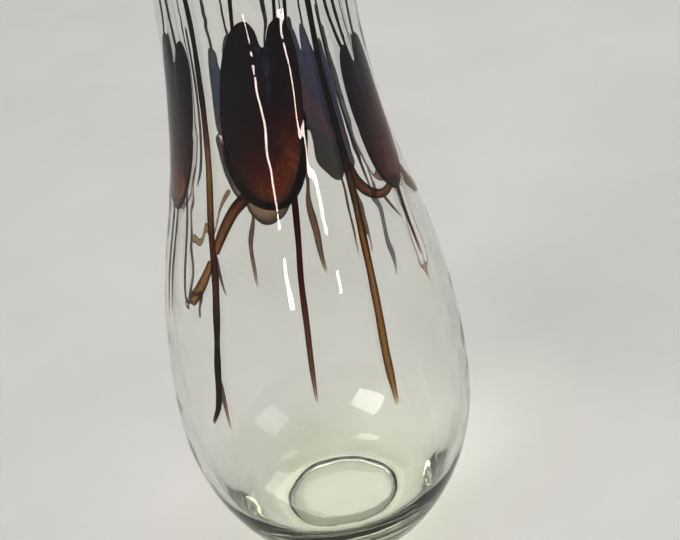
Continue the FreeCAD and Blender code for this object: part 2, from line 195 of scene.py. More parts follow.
def side_points(inset, floor_radius, floor_height, step):
    """One side of the wall from its floor to its lip."""
    points = [np.array([[floor_radius, floor_height]])]
    for arc in tangent_arcs(inset, floor_radius, floor_height):
        points.append(arc_points(arc, step))
    return np.vstack(points)


FORM_STEP = 1.0
FORM = side_points(0, FOOT_RADIUS, 0, FORM_STEP)


def wall_radius(height):
    """The outside radius at a height or heights, in millimetres."""
    return np.interp(height, FORM[:, 1], FORM[:, 0])


def wall_slope(height):
    """How much the outside radius grows for each millimetre of height."""
    return wall_radius(np.asarray(height) + 0.5) - wall_radius(np.asarray(height) - 0.5)


def on_wall(bearing, height, depth):
    """Points under the wall's outside by a depth, square to it: arrays of x, y, z in metres."""
    bearing, height = np.radians(bearing), np.asarray(height, float)
    slope = wall_slope(height)
    steep = np.sqrt(1 + slope**2)
    radius = wall_radius(height) - depth / steep
    height = height + depth * slope / steep
    return np.stack((radius * np.sin(bearing), -radius * np.cos(bearing), height), axis=-1) * MM


# ---------------------------------------------------------------- meshes

def make_mesh(name, points, faces, colours=None, numbers=None):
    """A smooth-shaded object with colour and number attributes on its points."""
    mesh = bpy.data.meshes.new(name)
    mesh.from_pydata([tuple(p) for p in np.asarray(points).tolist()], [], faces)
    mesh.validate()
    mesh.update()
    mesh.shade_smooth()
    for attribute, values in (colours or {}).items():
        layer = mesh.color_attributes.new(attribute, "FLOAT_COLOR", "POINT")
        rgba = np.column_stack((values, np.ones(len(values)))).astype(np.float32)
        layer.data.foreach_set("color", rgba.ravel())
    for attribute, values in (numbers or {}).items():
        layer = mesh.attributes.new(attribute, "FLOAT", "POINT")
        layer.data.foreach_set("value", np.asarray(values, np.float32))
    made = bpy.data.objects.new(name, mesh)
    scene.collection.objects.link(made)
    return made


def coloured_mesh(name, points, faces, tint, body, cover):
    """A piece of dark glass. Light crosses its surface twice, so each crossing has the tint's root."""
    colours = {"tint": np.sqrt(tint), "body": body}
    return make_mesh(name + "_glass", points, faces, colours, {"cover": cover})


def ring_faces(rows, around):
    """Quads between rows of points that each close on themselves."""
    faces = []
    for row in range(rows - 1):
        for turn in range(around):
            after = (turn + 1) % around
            low, high = row * around, (row + 1) * around
            faces.append((low + turn, low + after, high + after, high + turn))
    return faces


def cap_faces(rows, around):
    """Triangles that close the first and the last row onto the two points that come after all the rows."""
    under, over = rows * around, rows * around + 1
    last_row = (rows - 1) * around
    faces = []
    for turn in range(around):
        after = (turn + 1) % around
        faces.append((under, after, turn))
        faces.append((over, last_row + turn, last_row + after))
    return faces


def catmull_rom(one, two, three, four, t):
    """Points from two to three, at each share t of the way, on a curve that heads for one and four."""
    return 0.5 * (2 * two + (three - one) * t + (2 * one - 5 * two + 4 * three - four) * t**2
                  + (3 * two - one - 3 * three + four) * t**3)


PATH_SPACING = 1.5


def smooth_path(points):
    """Points about PATH_SPACING millimetres apart along a smooth curve through (bearing, height) points."""
    points = np.asarray(points, float)
    ends = np.vstack((2 * points[0] - points[1], points, 2 * points[-1] - points[-2]))
    pieces = []
    for one, two, three, four in zip(ends, ends[1:], ends[2:], ends[3:]):
        millimetres = np.hypot(math.radians(three[0] - two[0]) * wall_radius(two[1]), three[1] - two[1])
        count = max(3, round(float(millimetres) / PATH_SPACING))
        t = np.linspace(0, 1, count, endpoint=False)[:, None]
        pieces.append(catmull_rom(one, two, three, four, t))
    return np.vstack(pieces + [points[-1:]])


def ramp(stops, at):
    """Colours interpolated at an array of positions from (position, colour) stops."""
    places = [place for place, _ in stops]
    return np.column_stack([np.interp(at, places, [colour[i] for _, colour in stops]) for i in range(3)])


def ramp_value(stops, at):
    """Numbers interpolated at an array of positions from (position, number) stops."""
    return np.interp(at, [place for place, _ in stops], [value for _, value in stops])


def mottle(points, scale, seed):
    """A noise value from -1 to 1 at each point, for cloudy colour in the glass."""
    offset = Vector((seed * 7.3, seed * 3.1, seed * 5.7))
    return np.array([noise.noise(Vector(p) * scale + offset) for p in points])


# ---------------------------------------------------------------- petals

def outline_curve(points, count):
    """A closed smooth curve through points, from its first point round to it again."""
    points = np.asarray(points, float)
    before, after, later = np.roll(points, 1, 0), np.roll(points, -1, 0), np.roll(points, -2, 0)
    per = count // len(points)
    t = np.linspace(0, 1, per, endpoint=False)[:, None]
    pieces = []
    for one, two, three, four in zip(before, points, after, later):
        pieces.append(catmull_rom(one, two, three, four, t))
    return np.vstack(pieces)


def petal_place(name, across, up):
    """Bearing and height of points given on a petal's own outline."""
    bearing, half_angle, bottom, length, lean, side = PETALS[name]
    widest = wall_radius(bottom + length / 3) * math.sin(math.radians(half_angle))
    sideways = widest * across * side + lean * up
    height = bottom + length * up
    return bearing + np.degrees(np.arcsin(sideways / wall_radius(height))), height


# For each petal: light through it by height on it, its milky body colour (on the rear petals partly painted
# light), how much that covers, and how much further up its colours sit on its side towards larger bearings.
PETAL_COLOURS = {
    "front_petal": (
        ((0.0, RED_BROWN), (0.16, RED_BROWN), (0.32, MAROON), (0.52, PLUM), (0.70, BLACK), (1.0, BLACK)),
        ((0.0, (0.250, 0.085, 0.040)), (0.10, (0.160, 0.040, 0.018)), (0.22, (0.075, 0.014, 0.009)),
         (0.38, (0.026, 0.004, 0.005)), (0.56, (0.005, 0.001, 0.003)), (1.0, (0.001, 0.001, 0.002))),
        ((0.0, 0.45), (0.15, 0.62), (0.4, 0.82), (0.7, 0.96), (1.0, 0.98)),
        0.22,
    ),
    "right_petal": (
        ((0.0, RED_BROWN), (0.18, RED_BROWN), (0.42, MAROON), (0.70, PLUM), (1.0, BLACK)),
        ((0.0, (0.26, 0.10, 0.055)), (0.20, (0.13, 0.038, 0.026)), (0.45, (0.050, 0.016, 0.020)),
         (0.70, (0.018, 0.012, 0.018)), (1.0, (0.005, 0.005, 0.010))),
        ((0.0, 0.40), (0.3, 0.7), (1.0, 0.95)),
        0.16,
    ),
    # Painted light: this petal's violet and blue towards its top is the sheen its inner side shows where
    # light reaches it from behind and through the mouth, laid over its dark glass's own colour.
    "rear_right_petal": (
        ((0.0, BROWN), (0.12, PLUM), (0.35, VIOLET), (0.70, VIOLET), (0.9, STEEL), (1.0, STEEL)),
        ((0.0, (0.040, 0.018, 0.012)), (0.10, (0.012, 0.006, 0.010)), (0.28, (0.012, 0.006, 0.032)),
         (0.44, (0.110, 0.005, 0.050)), (0.58, (0.016, 0.006, 0.075)), (0.80, (0.018, 0.022, 0.130)),
         (1.0, (0.040, 0.070, 0.180))),
        ((0.0, 0.60), (0.2, 0.90), (0.7, 0.90), (1.0, 0.70)),
        0.14,
    ),
    # Painted light here too: the violet and blue towards this petal's top is light reaching its inner side
    # from behind, laid over its brown glass's own colour.
    "rear_left_petal": (
        ((0.0, CLEAR_BROWN), (0.20, CLEAR_BROWN), (0.38, RED_BROWN), (0.60, VIOLET), (0.85, STEEL),
         (1.0, STEEL)),
        ((0.0, (0.210, 0.110, 0.060)), (0.22, (0.160, 0.072, 0.030)), (0.45, (0.070, 0.024, 0.016)),
         (0.66, (0.014, 0.014, 0.045)), (0.88, (0.012, 0.050, 0.120)), (1.0, (0.030, 0.085, 0.150))),
        ((0.0, 0.22), (0.25, 0.35), (0.5, 0.75), (0.8, 0.90), (1.0, 0.80)),
        -0.06,
    ),
    "left_petal": (
        ((0.0, AMBER), (0.10, RED_BROWN), (0.30, MAROON), (0.60, PLUM), (1.0, BLACK)),
        ((0.0, (0.32, 0.14, 0.08)), (0.12, (0.13, 0.050, 0.036)), (0.32, (0.035, 0.018, 0.024)),
         (0.6, (0.010, 0.009, 0.012)), (1.0, (0.004, 0.004, 0.007))),
        ((0.0, 0.40), (0.25, 0.75), (0.6, 0.95), (1.0, 0.97)),
        0.10,
    ),
}

# A petal's middle depth in the wall and half its thickness, and how finely it is meshed.
PETAL_DEPTH, PETAL_HALF = 1.25, 0.60
OUTLINE_POINTS, PETAL_RINGS = 120, 22

# The higher this is, the flatter a petal stays before it rounds off at its edge.
LENS_POWER = 5

# Cloudy colour in a petal: (how much it shifts the colours, its noise's scale per metre), coarse and fine.
CLOUDS, FINE_CLOUDS = (0.10, 120), (0.05, 420)

# The speckled seam that runs down from a petal's notch: its colour, where it lies across the petal, its
# half width, the height it starts at, how far it takes to come in and the scale of its specks.
SEAM_BLUE = (0.035, 0.042, 0.085)
SEAM_ACROSS, SEAM_HALF, SEAM_FROM, SEAM_RISE, SEAM_SPECKS = 0.28, 0.12, 0.50, 0.25, 700
SEAM_STRENGTH, SPECK_CONTRAST = 0.55, 1.6

# The darker rim: where it starts between heart and outline, and what it takes off the light and the body.
RIM_START, RIM_TINT_LOSS, RIM_BODY_LOSS, RIM_COVER = 0.84, 0.60, 0.70, 0.15

# How much thicker the clouds make the body colour, and the least and most that it covers.
CLOUD_COVER, LEAST_COVER, MOST_COVER = 0.6, 0.05, 0.98


def build_petal(name, seed):
    """A two-lobed lens of dark glass that follows the wall, thick in the middle and rounded at its edge."""
    outline = outline_curve(PETAL_OUTLINE, OUTLINE_POINTS)
    heart = np.array(PETAL_HEART)
    out = np.sin(np.linspace(0, math.pi / 2, PETAL_RINGS + 1))[1:]
    flat = np.vstack([heart[None, :]] + [heart + (outline - heart) * share for share in out])
    share = np.concatenate(([0.0], np.repeat(out, len(outline))))
    bearing, height = petal_place(name, flat[:, 0], flat[:, 1])
    half = PETAL_HALF * np.sqrt(np.clip(1 - share**LENS_POWER, 0, 1))
    front = on_wall(bearing, height, PETAL_DEPTH - half)
    back = on_wall(bearing, height, PETAL_DEPTH + half)
    around = len(outline)
    inner = len(flat) - around
    points = np.vstack((front, back[:inner]))
    faces = []
    for side, start in ((1, 0), (-1, len(flat))):
        def index(ring, turn):
            turn %= around
            if ring == PETAL_RINGS - 1:
                return inner + turn
            return start + 1 + ring * around + turn
        for turn in range(around):
            faces.append((start, index(0, turn), index(0, turn + 1))[::side])
            for ring in range(PETAL_RINGS - 1):
                faces.append((index(ring, turn), index(ring + 1, turn), index(ring + 1, turn + 1),
                              index(ring, turn + 1))[::side])
    up = np.concatenate((flat[:, 1], flat[:inner, 1]))
    edge = np.concatenate((share, share[:inner]))
    across = np.concatenate((flat[:, 0], flat[:inner, 0]))
    tint, body, cover = petal_colours(name, points, across, up, edge, seed)
    return coloured_mesh(name, points, faces, tint, body, cover)


def petal_colours(name, points, across, up, edge, seed):
    """A petal's tint, body and cover at its points, placed across and up it; edge is 1 on its outline."""
    clouds = mottle(points, CLOUDS[1], seed) * CLOUDS[0]
    clouds += mottle(points, FINE_CLOUDS[1], seed + 1) * FINE_CLOUDS[0]
    tints, bodies, covers, slant = PETAL_COLOURS[name]
    side = across * PETALS[name][5]
    level = np.clip(up + clouds - slant * side, 0, 1)
    tint = ramp(tints, level)
    body = ramp(bodies, level)

    seam = np.exp(-((across - SEAM_ACROSS) / SEAM_HALF) ** 2) * np.clip((up - SEAM_FROM) / SEAM_RISE, 0, 1)
    specks = mottle(points, SEAM_SPECKS, seed + 2)
    seam = np.clip(seam * (SEAM_STRENGTH + SPECK_CONTRAST * specks), 0, 1)[:, None]
    body = body * (1 - seam) + np.array(SEAM_BLUE) * seam

    rim = np.clip((edge - RIM_START) / (1 - RIM_START), 0, 1)[:, None]
    tint = tint * (1 - RIM_TINT_LOSS * rim)
    body = body * (1 - RIM_BODY_LOSS * rim)
    cover = ramp_value(covers, level)
    cover = np.clip(cover + clouds * CLOUD_COVER + RIM_COVER * rim[:, 0], LEAST_COVER, MOST_COVER)
    return tint, body, cover


# ---------------------------------------------------------------- threads

# Threads thin out between these heights on their way up the neck, to this share of their width.
DRAWN_OUT, DRAWN_THIN = (225, 290), 0.68

# Points round a thread, half its thickness, how far its round ends reach, and how wide and thick a drawn
# end still is where it stops.
THREAD_AROUND, THREAD_HALF, END_ROUND, END_WIDE, END_THICK = 14, 0.55, 1.6, 0.45, 0.55

# How the hand wavered as a thread was pulled: (size, turns per millimetre) sideways, in millimetres, and in
# its width, as a share.
WANDER, SWELL = (0.5, 0.035), (0.28, 0.06)

# Cloudy colour along a thread: how many millimetres it shifts the colours by, and its scale per metre.
THREAD_CLOUDS = (9, 90)


def build_thread(name, path, width, depth, colour_of, taper_first, taper_last, seed):
    """A drawn thread laid in the wall: a flattened cane whose width wanders as it was pulled.

    colour_of(heights, across) gives its tint, body and cover; a taper is how far its end thins out, in mm.
    """
    line = smooth_path(path)
    count = len(line)
    height = line[:, 1]
    radius = wall_radius(height)
    steps = np.hypot(np.radians(np.diff(line[:, 0])) * radius[1:], np.diff(height))
    along = np.concatenate(([0.0], np.cumsum(steps)))
    wander = np.array([noise.noise(Vector((a * WANDER[1], seed * 3.7, 0.0))) for a in along])
    swell = np.array([noise.noise(Vector((a * SWELL[1], seed * 5.1, 9.0))) for a in along])
    bearing = line[:, 0] + np.degrees(WANDER[0] * wander / radius)
    wide = width / 2 * (1 + SWELL[0] * swell) * np.interp(height, DRAWN_OUT, (1, DRAWN_THIN))
    thick = np.full(count, THREAD_HALF)
    strength = np.ones(count)
    for distance, taper in ((along, taper_first), (along[-1] - along, taper_last)):
        end_round = np.sqrt(np.clip(distance / END_ROUND, 0.001, 1))
        drawn = np.clip(distance / max(taper, END_ROUND), 0, 1)
        wide = wide * end_round * (END_WIDE + (1 - END_WIDE) * drawn)
        thick = thick * end_round * (END_THICK + (1 - END_THICK) * drawn)
        strength = strength * (1 if taper < END_ROUND else drawn * (2 - drawn))
    ahead = np.gradient(np.radians(bearing)) * radius
    climb = np.gradient(height)
    speed = np.hypot(ahead, climb)
    ahead, climb = ahead / speed, climb / speed
    turns = np.linspace(0, 2 * math.pi, THREAD_AROUND, endpoint=False)
    points, across = [], []
    for turn in turns:
        sideways = wide * math.cos(turn)
        points.append(on_wall(bearing - np.degrees(sideways * climb / radius), height + sideways * ahead,
                              depth - thick * math.sin(turn)))
        across.append(np.full(count, abs(math.cos(turn))))
    points = np.stack(points, axis=1).reshape(-1, 3)
    across = np.stack(across, axis=1).ravel()
    heights = np.repeat(height, THREAD_AROUND)
    faces = ring_faces(count, THREAD_AROUND)
    faces.append(tuple(range(THREAD_AROUND))[::-1])
    faces.append(tuple(range((count - 1) * THREAD_AROUND, count * THREAD_AROUND)))
    clouds = mottle(points, THREAD_CLOUDS[1], seed) * THREAD_CLOUDS[0]
    tint, body, cover = colour_of(heights + clouds, across)
    strength = np.repeat(strength, THREAD_AROUND)
    tint = tint ** strength[:, None]
    cover = cover * strength
    return coloured_mesh(name, points, faces, tint, body, cover)


# A thread's painted edge shade comes in over this much of its half width and adds this much cover; its
# milky body is a share of its tint.
EDGE_SHADE_FROM, EDGE_SHADE_FULL, EDGE_SHADE_COVER, BODY_SHARE = 0.45, 0.85, 0.25, 0.16


def cane(middle_stops, edge_shade_stops, cover_stops):
    """Colours for a thread by height, with painted shade in darker colours along its edges."""
    def colour_of(heights, across):
        edge = np.clip((across - EDGE_SHADE_FROM) / (EDGE_SHADE_FULL - EDGE_SHADE_FROM), 0, 1)[:, None]
        tint = ramp(middle_stops, heights) * (1 - edge) + ramp(edge_shade_stops, heights) * edge
        body = tint * BODY_SHARE
        cover = np.clip(ramp_value(cover_stops, heights) + EDGE_SHADE_COVER * edge[:, 0], 0, 0.97)
        return tint, body, cover
    return colour_of


# ---------------------------------------------------------------- materials

def shader_tree(name):
    """A new material and its empty node tree."""
    material = bpy.data.materials.new(name)
    material.use_nodes = True
    tree = material.node_tree
    tree.nodes.clear()
    return material, tree


def through_light(tree, surface, colour):
    """Ends a glass material: lamps shine through it, tinted, instead of leaving it black in shadow."""
    path = tree.nodes.new("ShaderNodeLightPath")
    clear = tree.nodes.new("ShaderNodeBsdfTransparent")
    clear.inputs["Color"].default_value = (*colour, 1)
    mix = tree.nodes.new("ShaderNodeMixShader")
    output = tree.nodes.new("ShaderNodeOutputMaterial")
    tree.links.new(path.outputs["Is Shadow Ray"], mix.inputs[0])
    tree.links.new(surface, mix.inputs[1])
    tree.links.new(clear.outputs[0], mix.inputs[2])
    tree.links.new(mix.outputs[0], output.inputs["Surface"])
    return output


def clear_glass():
    """The bubble's clear glass: a faint olive tint that deepens with its thickness, and fine cords."""
    material, tree = shader_tree("clear_blown_glass")
    glass = tree.nodes.new("ShaderNodeBsdfPrincipled")
    glass.inputs["Base Color"].default_value = (0.985, 0.990, 0.982, 1)
    glass.inputs["Roughness"].default_value = 0.0
    glass.inputs["IOR"].default_value = 1.5
    glass.inputs["Transmission Weight"].default_value = 1.0
    place = tree.nodes.new("ShaderNodeTexCoord")
    cords = tree.nodes.new("ShaderNodeTexNoise")
    cords.inputs["Scale"].default_value = 26.0
    cords.inputs["Detail"].default_value = 2.0
    bump = tree.nodes.new("ShaderNodeBump")
    bump.inputs["Strength"].default_value = 0.05
    bump.inputs["Distance"].default_value = 0.0008
    tree.links.new(place.outputs["Object"], cords.inputs["Vector"])
    tree.links.new(cords.outputs[0], bump.inputs["Height"])
    tree.links.new(bump.outputs[0], glass.inputs["Normal"])
    output = through_light(tree, glass.outputs[0], (0.945, 0.955, 0.94))
    absorb = tree.nodes.new("ShaderNodeVolumeAbsorption")
    absorb.inputs["Color"].default_value = (0.73, 0.76, 0.64, 1)
    absorb.inputs["Density"].default_value = 22.0
    tree.links.new(absorb.outputs[0], output.inputs["Volume"])
    return material


def ground_glass():
    """The foot's fine-ground glass: pale and grey-green, with the wheel's faint rings."""
    material, tree = shader_tree("ground_foot_glass")
    glass = tree.nodes.new("ShaderNodeBsdfPrincipled")
    glass.inputs["Base Color"].default_value = (0.50, 0.51, 0.47, 1)
    glass.inputs["Roughness"].default_value = 0.42
    glass.inputs["IOR"].default_value = 1.5
    glass.inputs["Transmission Weight"].default_value = 0.5
    place = tree.nodes.new("ShaderNodeTexCoord")
    rings = tree.nodes.new("ShaderNodeTexWave")
    rings.wave_type = "RINGS"
    rings.rings_direction = "Z"
    rings.inputs["Scale"].default_value = 160.0
    rings.inputs["Distortion"].default_value = 2.5
    rings.inputs["Detail"].default_value = 3.0
    bump = tree.nodes.new("ShaderNodeBump")
    bump.inputs["Strength"].default_value = 0.25
    bump.inputs["Distance"].default_value = 0.0002
    tree.links.new(place.outputs["Object"], rings.inputs["Vector"])
    tree.links.new(rings.outputs["Fac"], bump.inputs["Height"])
    tree.links.new(bump.outputs[0], glass.inputs["Normal"])
    through_light(tree, glass.outputs[0], (0.63, 0.66, 0.62))
    return material


def coloured_glass(name, fleck_scale):
    """Dark glass in the wall: it tints what is behind it, and a milky body colour partly covers that."""
    material, tree = shader_tree(name)
    tint = tree.nodes.new("ShaderNodeAttribute")
    tint.attribute_name = "tint"
    body = tree.nodes.new("ShaderNodeAttribute")
    body.attribute_name = "body"
    cover = tree.nodes.new("ShaderNodeAttribute")
    cover.attribute_name = "cover"
    place = tree.nodes.new("ShaderNodeTexCoord")
    flecks = tree.nodes.new("ShaderNodeTexNoise")
    flecks.inputs["Scale"].default_value = fleck_scale
    flecks.inputs["Detail"].default_value = 6.0
    flecks.inputs["Roughness"].default_value = 0.65
    shade = tree.nodes.new("ShaderNodeMapRange")
    shade.inputs["From Min"].default_value = 0.30
    shade.inputs["From Max"].default_value = 0.75
    shade.inputs["To Min"].default_value = 0.65
    shade.inputs["To Max"].default_value = 1.45
    speckled = tree.nodes.new("ShaderNodeVectorMath")
    speckled.operation = "SCALE"
    milk = tree.nodes.new("ShaderNodeBsdfPrincipled")
    milk.inputs["Roughness"].default_value = 0.45
    milk.inputs["Specular IOR Level"].default_value = 0.2
    clear = tree.nodes.new("ShaderNodeBsdfTransparent")
    mix = tree.nodes.new("ShaderNodeMixShader")
    output = tree.nodes.new("ShaderNodeOutputMaterial")
    tree.links.new(place.outputs["Object"], flecks.inputs["Vector"])
    tree.links.new(flecks.outputs[0], shade.inputs["Value"])
    tree.links.new(body.outputs["Color"], speckled.inputs[0])
    tree.links.new(shade.outputs[0], speckled.inputs["Scale"])
    tree.links.new(speckled.outputs[0], milk.inputs["Base Color"])
    tree.links.new(tint.outputs["Color"], clear.inputs["Color"])
    tree.links.new(cover.outputs["Fac"], mix.inputs[0])
    tree.links.new(clear.outputs[0], mix.inputs[1])
    tree.links.new(milk.outputs[0], mix.inputs[2])
    tree.links.new(mix.outputs[0], output.inputs["Surface"])
    return material


def pale_floor():
    """The studio floor's matt paint, almost even."""
    material, tree = shader_tree("pale_floor_paint")
    paint = tree.nodes.new("ShaderNodeBsdfPrincipled")
    paint.inputs["Roughness"].default_value = 0.6
    paint.inputs["Specular IOR Level"].default_value = 0.3
    place = tree.nodes.new("ShaderNodeTexCoord")
    clouds = tree.nodes.new("ShaderNodeTexNoise")
    clouds.inputs["Scale"].default_value = 9.0
    clouds.inputs["Detail"].default_value = 6.0
    colours = tree.nodes.new("ShaderNodeValToRGB")
    colours.color_ramp.elements[0].position = 0.35
    colours.color_ramp.elements[0].color = (0.625, 0.61, 0.59, 1)
    colours.color_ramp.elements[1].position = 0.65
    colours.color_ramp.elements[1].color = (0.65, 0.635, 0.615, 1)
    output = tree.nodes.new("ShaderNodeOutputMaterial")
    tree.links.new(place.outputs["Object"], clouds.inputs["Vector"])
    tree.links.new(clouds.outputs[0], colours.inputs[0])
    tree.links.new(colours.outputs[0], paint.inputs["Base Color"])
    tree.links.new(paint.outputs[0], output.inputs["Surface"])
    return material


CLEAR = clear_glass()
GROUND = ground_glass()
PETAL_GLASS = coloured_glass("petal_glass", 420.0)
THREAD_GLASS = coloured_glass("thread_glass", 260.0)


def finish_piece(piece, node, material):
    """Gives a piece its material and says what it rides on, which CAD node it replaces."""
    piece.data.materials.append(material)
    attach(piece, "root")
    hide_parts(node)
    return piece


# ---------------------------------------------------------------- the clear bubble

# Points round the bubble, and millimetres from one row of them to the next.
AROUND = 296
OUTSIDE_STEP, INSIDE_STEP = 1.75, 4.0

# Uneven glass: (depth, seed, size, how much longer it is than wide) for each wave, in millimetres.
OUTSIDE_WAVES = ((0.10, 11.0, 12.0, 1.1), (0.20, 4.0, 60.0, 1.6), (0.022, 51.0, 6.5, 1.0))
INSIDE_WAVES = ((0.09, 23.0, 26.0, 1.5), (0.25, 31.0, 70.0, 1.4))
# The jacks' rings: their depth, the spacing of the coarse and of the fine ones, and how far from the waist
# they reach.
JACK_DEPTH, JACK_COARSE, JACK_FINE, JACK_REACH = 0.020, 7.3, 5.3, 30.0
# The waves fade out over this much height above a floor, so that the foot stays true.
CALM = 12
# Room round the disc in its recess, and how much fuller than a half circle the lip's bead is.
DISC_GAP, BEAD = 0.06, 1.12
# The lip isn't quite level or round: above this height it sways by these amounts.
SWAY_FROM, SWAY_UP, SWAY_OUT = 320, 0.5, 0.35

# A petal's mound starts outside its outline and is level inside it, as shares of the outline's reach.
MOUND_STARTS, MOUND_LEVEL = 1.18, 0.73
PETAL_RISE, LOOP_RISE, LOOP_REACH = 0.32, 0.22, 3.2


class Relief:
    """How far the outside stands out over the petals and threads, on a grid of bearing and height."""

    def __init__(self):
        self.heights = np.arange(0, OVERALL_HEIGHT + 1, 1.0)
        self.bearings = np.arange(AROUND) * 360 / AROUND
        self.rise = np.zeros((len(self.heights), AROUND))

    def add_path(self, path, reach, rise):
        """A soft ridge along a thread."""
        for bearing, height in smooth_path(path):
            rows = np.abs(self.heights - height) < 3 * reach
            turned = (self.bearings - bearing + 180) % 360 - 180
            sideways = np.radians(turned) * wall_radius(height)
            columns = np.abs(sideways) < 3 * reach
            squared = (self.heights[rows, None] - height) ** 2 + sideways[None, columns] ** 2
            ridge = rise * np.exp(-squared / reach**2)
            spot = np.ix_(rows, columns)
            self.rise[spot] = np.maximum(self.rise[spot], ridge)

    def add_petal(self, name, rise):
        """A low mound over a petal, level in its middle and soft at its edge."""
        bearing, half_angle, bottom, length, lean, side = PETALS[name]
        widest = wall_radius(bottom + length / 3) * math.sin(math.radians(half_angle))
        turned = (self.bearings - bearing + 180) % 360 - 180
        up = (self.heights[:, None] - bottom) / length + 0 * turned[None, :]
        sideways = np.sin(np.radians(turned))[None, :] * wall_radius(self.heights)[:, None]
        across = (sideways - lean * up) * side / widest
        outline = outline_curve(PETAL_OUTLINE, OUTLINE_POINTS) - np.array(PETAL_HEART)
        angles = np.arctan2(outline[:, 1], outline[:, 0])
        order = np.argsort(angles)
        reach = np.hypot(outline[:, 0], outline[:, 1])
        own = np.arctan2(up - PETAL_HEART[1], across - PETAL_HEART[0])
        edge = np.interp(own, angles[order], reach[order], period=2 * math.pi)
        share = np.hypot(across - PETAL_HEART[0], up - PETAL_HEART[1]) / edge
        soft = np.clip((MOUND_STARTS - share) / (MOUND_STARTS - MOUND_LEVEL), 0, 1)
        nearby = np.abs(turned)[None, :] < 60
        mound = rise * soft**2 * (3 - 2 * soft) * nearby
        self.rise = np.maximum(self.rise, mound)

    def at(self, row_heights):
        """The rise on rows at the given heights, one column for each bearing of the bubble's mesh."""
        place = np.clip(row_heights, 0, self.heights[-1] - 0.001)
        low = place.astype(int)
        share = (place - low)[:, None]
        return self.rise[low] * (1 - share) + self.rise[low + 1] * share


def ripples(rows, seed, scale, stretch):
    """Smooth noise on the wall for rows of (radius, height), stretched along its height."""
    bearings = np.radians(np.arange(AROUND) * 360 / AROUND)
    values = np.empty((len(rows), AROUND))
    for number, (radius, height) in enumerate(rows):
        for column, bearing in enumerate(bearings):
            spot = Vector((radius * math.sin(bearing), -radius * math.cos(bearing), height / stretch))
            values[number, column] = noise.noise(spot / scale + Vector((seed, 0, 0)))
    return values


def jack_lines(heights):
    """The fine level rings that the jacks leave at the neck, as a depth for each height."""
    near = np.exp(-(((heights - WAIST_HEIGHT) / JACK_REACH) ** 2))
    coarse = np.sin(heights * 2 * math.pi / JACK_COARSE)
    fine = np.sin(heights * 2 * math.pi / JACK_FINE + 1.3)
    return JACK_DEPTH * near * (coarse + 0.6 * fine)


def uneven(rows, waves):
    """The waves added together on the rows, as a rise in millimetres."""
    return sum(depth * ripples(rows, seed, size, stretch) for depth, seed, size, stretch in waves)


def build_bubble(relief):
    """The clear bubble: outside from the foot to the lip, round the lip's bead and down the inside."""
    outside = side_points(0, FOOT_RADIUS + DISC_GAP, 0, OUTSIDE_STEP)
    inside = side_points(WALL, CAVITY_FLOOR_RADIUS, BASE, INSIDE_STEP)[::-1]

    bearings = np.radians(np.arange(AROUND) * 360 / AROUND)
    fade_out = np.clip(outside[:, 1] / CALM, 0, 1)[:, None]
    wave_out = uneven(outside, OUTSIDE_WAVES) + jack_lines(outside[:, 1])[:, None]
    grow_out = relief.at(outside[:, 1]) + wave_out * fade_out
    fade_in = np.clip((inside[:, 1] - BASE) / CALM, 0, 1)[:, None]
    grow_in = uneven(inside, INSIDE_WAVES) * fade_in

    last, first = outside[-1], inside[0]
    middle = (last + first) / 2
    bead = np.hypot(*(last - first)) / 2
    start = math.atan2(*(last - middle)[::-1])
    turns = np.linspace(start, start + math.pi, 12)[1:-1]
    lip = middle + bead * BEAD * np.column_stack((np.cos(turns), np.sin(turns)))
    lip_share = np.linspace(0, 1, len(lip) + 2)[1:-1, None]
    grow_lip = grow_out[-1] * (1 - lip_share) + grow_in[0] * lip_share

    roof = DISC_THICKNESS + DISC_GAP
    recess = np.array([(12.0, roof), (25.0, roof), (FOOT_RADIUS + DISC_GAP, roof)])
    floor = np.column_stack((np.linspace(CAVITY_FLOOR_RADIUS, 0, 8)[1:-1], np.full(6, BASE)))
    rows = np.vstack((recess, outside, lip, inside, floor))
    level_under, level_over = np.zeros((len(recess), AROUND)), np.zeros((len(floor), AROUND))
    grow = np.vstack((level_under, grow_out, grow_lip, grow_in, level_over))
    ahead = np.gradient(rows, axis=0)
    ahead /= np.hypot(ahead[:, 0], ahead[:, 1])[:, None]
    push = np.column_stack((ahead[:, 1], -ahead[:, 0]))
    radius = rows[:, 0, None] + push[:, 0, None] * grow
    height = rows[:, 1, None] + push[:, 1, None] * grow
    sway = np.clip((height - SWAY_FROM) / (OVERALL_HEIGHT - SWAY_FROM), 0, 1) ** 2
    height = height + sway * SWAY_UP * np.sin(2 * bearings + 0.7)
    radius = radius + sway * SWAY_OUT * np.sin(3 * bearings + 2.0)
    points = np.stack((radius * np.sin(bearings), -radius * np.cos(bearings), height), axis=-1)
    points = points.reshape(-1, 3) * MM
    count = len(rows)
    points = np.vstack((points, [[0, 0, roof * MM], [0, 0, BASE * MM]]))
    faces = ring_faces(count, AROUND) + cap_faces(count, AROUND)
    return make_mesh("blown_bubble_glass", points, faces)


DISC_AROUND = 128


def build_disc():
    """The ground foot: its edge is bevelled, and its face a touch hollow, so that it stands on its rim."""
    rim, bevel, hollow = FOOT_RADIUS, 0.5, 0.35
    rows = [(6.0, hollow), (14.0, hollow * 0.8), (22.0, hollow * 0.35), (27.0, 0.0), (rim - bevel, 0.0),
            (rim - bevel * 0.3, bevel * 0.3), (rim, bevel), (rim, DISC_THICKNESS - 0.1),
            (rim - 0.1, DISC_THICKNESS), (22.0, DISC_THICKNESS), (10.0, DISC_THICKNESS)]
    bearings = np.linspace(0, 2 * math.pi, DISC_AROUND, endpoint=False)
    points = [(r * math.sin(b), -r * math.cos(b), z) for r, z in rows for b in bearings]
    points += [(0, 0, hollow), (0, 0, DISC_THICKNESS)]
    faces = ring_faces(len(rows), DISC_AROUND) + cap_faces(len(rows), DISC_AROUND)
    return make_mesh("pontil_disc_glass", np.array(points) * MM, faces)
